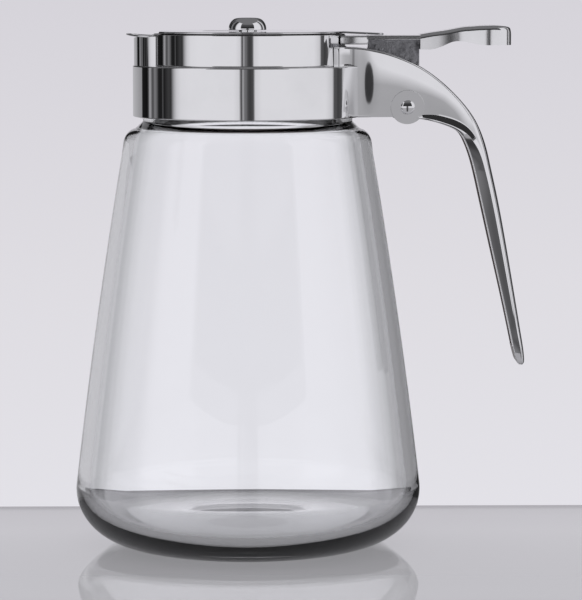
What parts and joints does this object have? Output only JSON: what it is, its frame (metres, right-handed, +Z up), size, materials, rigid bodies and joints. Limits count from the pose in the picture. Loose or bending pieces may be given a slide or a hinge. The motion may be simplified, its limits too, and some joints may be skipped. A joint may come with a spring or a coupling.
{
  "type": "glass syrup dispenser",
  "caption": "Clear tapered glass jar with a chromed pouring cap: round beak, channel handle and a sliding gate plate pulled back by a thumb lever.",
  "frame": {"origin": "centre of the jar's flat foot, on the surface it stands on", "axes": "+Z up the jar's axis, -X towards the pouring beak, +X towards the handle, the part is symmetric across the plane Y=0"},
  "size_m": [0.12, 0.0922, 0.1397],
  "materials": {
    "clear_glass": "clear, smooth, slightly wavy pressed glass",
    "chromed_casting": "bright mirror chrome on a casting",
    "polished_plate": "polished sheet metal",
    "lever_metal": "satin chrome with an unpolished web"
  },
  "bodies": {
    "root": {"jar": "clear_glass", "cap_body": "chromed_casting", "guide_button": "chromed_casting", "pivot_pin": "chromed_casting"},
    "gate": {"gate_plate": "polished_plate", "thumb_lever": "lever_metal"}
  },
  "joints": [
    {"name": "gate_slide", "type": "slide", "parent": "root", "child": "gate", "axis": [1, 0, 0], "range_m": [0, 0.009], "stiffness_N_per_m": 150, "springref_m": -0.004}
  ]
}
